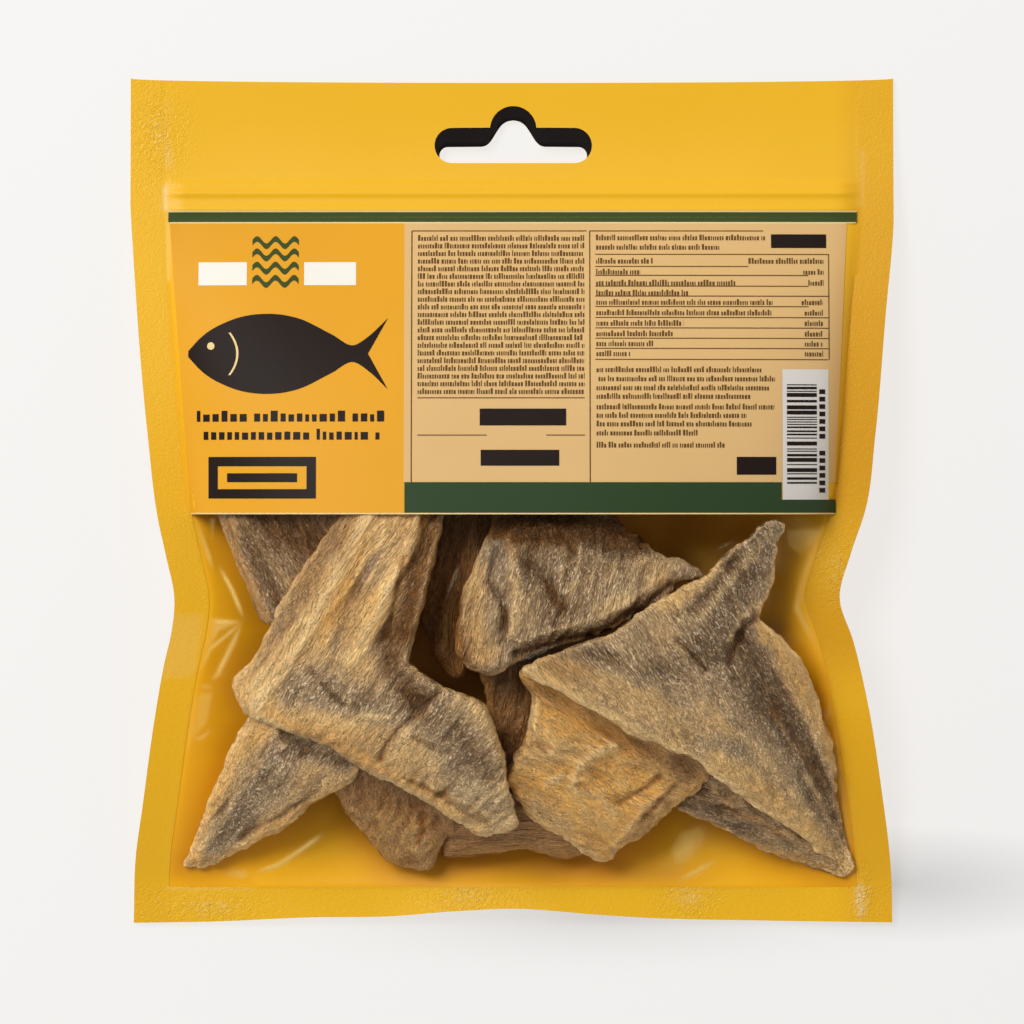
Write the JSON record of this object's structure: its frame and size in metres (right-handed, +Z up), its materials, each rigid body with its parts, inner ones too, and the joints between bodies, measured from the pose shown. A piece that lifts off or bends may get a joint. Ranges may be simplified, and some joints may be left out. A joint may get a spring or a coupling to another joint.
{
  "type": "pouch of dried fish steaks",
  "caption": "Sealed yellow hang-hole pouch with a press-to-close band, a printed panel and a clear window over dried fish steaks, lying on its back.",
  "frame": {"origin": "on the surface the pouch lies on, under the middle of its bounding box", "axes": "+X to the right of the printed face, +Y towards the hang slot, +Z up, out of the printed face"},
  "size_m": [0.1546, 0.1712, 0.0342],
  "materials": {
    "yellow_film": "fine-grained matt printed film",
    "clear_film": "clear glossy window film",
    "printed_panel": "printed fields of orange, tan and dark green",
    "dried_fish": "rough fibrous dried flesh, golden brown to grey brown",
    "dark_lining": "near-black film behind the hang slot"
  },
  "bodies": {
    "root": {"pouch": "yellow_film"}
  },
  "joints": []
}
